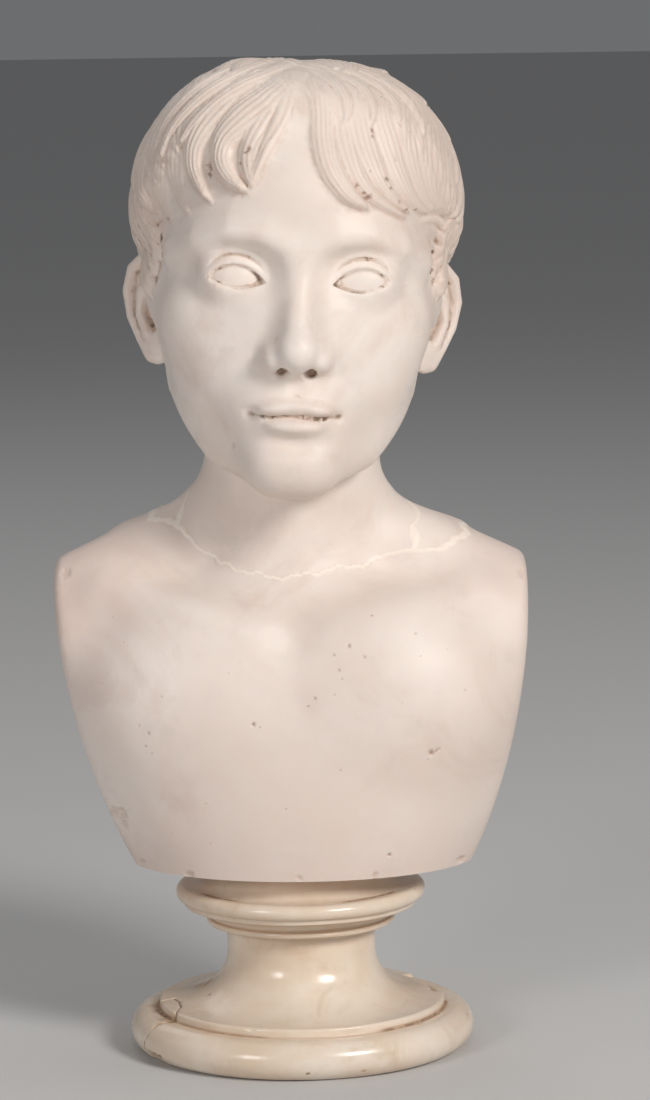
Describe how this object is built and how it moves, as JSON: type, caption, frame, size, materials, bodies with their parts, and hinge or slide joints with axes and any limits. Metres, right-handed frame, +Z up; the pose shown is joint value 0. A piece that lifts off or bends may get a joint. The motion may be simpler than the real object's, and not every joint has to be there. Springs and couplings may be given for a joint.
{
  "type": "marble portrait bust on socle",
  "caption": "Marble bust of a youth with short combed hair and bare chest, cut at the arms, on a turned round socle. Stands by its own weight.",
  "frame": {"origin": "centre of the socle's flat underside", "axes": "+Z up, the face and chest look along -Y, +X to the viewer's right"},
  "size_m": [0.2525, 0.222, 0.53],
  "materials": {
    "bust_marble": "fine satin polish, aged",
    "socle_marble": "glossy polish, stained"
  },
  "bodies": {
    "root": {"bust": "bust_marble", "socle": "socle_marble"}
  },
  "joints": []
}
